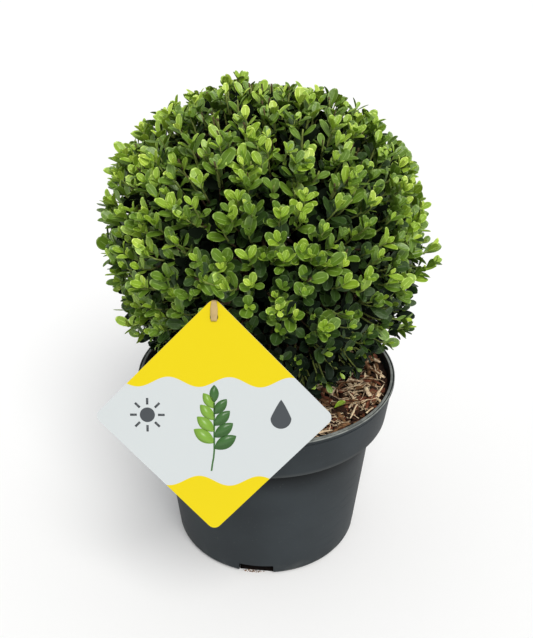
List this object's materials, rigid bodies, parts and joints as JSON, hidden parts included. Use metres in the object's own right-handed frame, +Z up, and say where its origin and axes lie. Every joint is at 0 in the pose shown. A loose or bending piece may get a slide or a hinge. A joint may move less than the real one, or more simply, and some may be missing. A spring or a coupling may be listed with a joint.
{
  "type": "potted japanese holly ball",
  "caption": "Evergreen shrub clipped to a leafy ball on a short trunk, in a round nursery pot filled with bark mulch, with a plain swing tag on a rubber band",
  "frame": {"origin": "middle of the pot's flat underside", "axes": "+Z up along the pot's axis and the shrub's stem; -Y is the front, where the tag hangs; +X is to the right seen from the front"},
  "size_m": [0.2794, 0.3208, 0.427],
  "materials": {
    "pot": "satin charcoal grey moulded plastic",
    "soil": "coarse bark and wood-fibre mulch over dark potting soil",
    "bark": "thin grey-brown bark",
    "foliage": "small glossy evergreen leaves, bright at the tips and dark inside",
    "tag": "smooth printed card in yellow and pale grey with a thin white edge",
    "band": "tan rubber"
  },
  "bodies": {
    "root": {"pot": "pot", "soil": "soil", "trunk": "bark", "bough_1": "bark", "bough_2": "bark", "bough_3": "bark", "bough_4": "bark", "foliage": "foliage", "tag": "tag", "band": "band"}
  },
  "joints": []
}
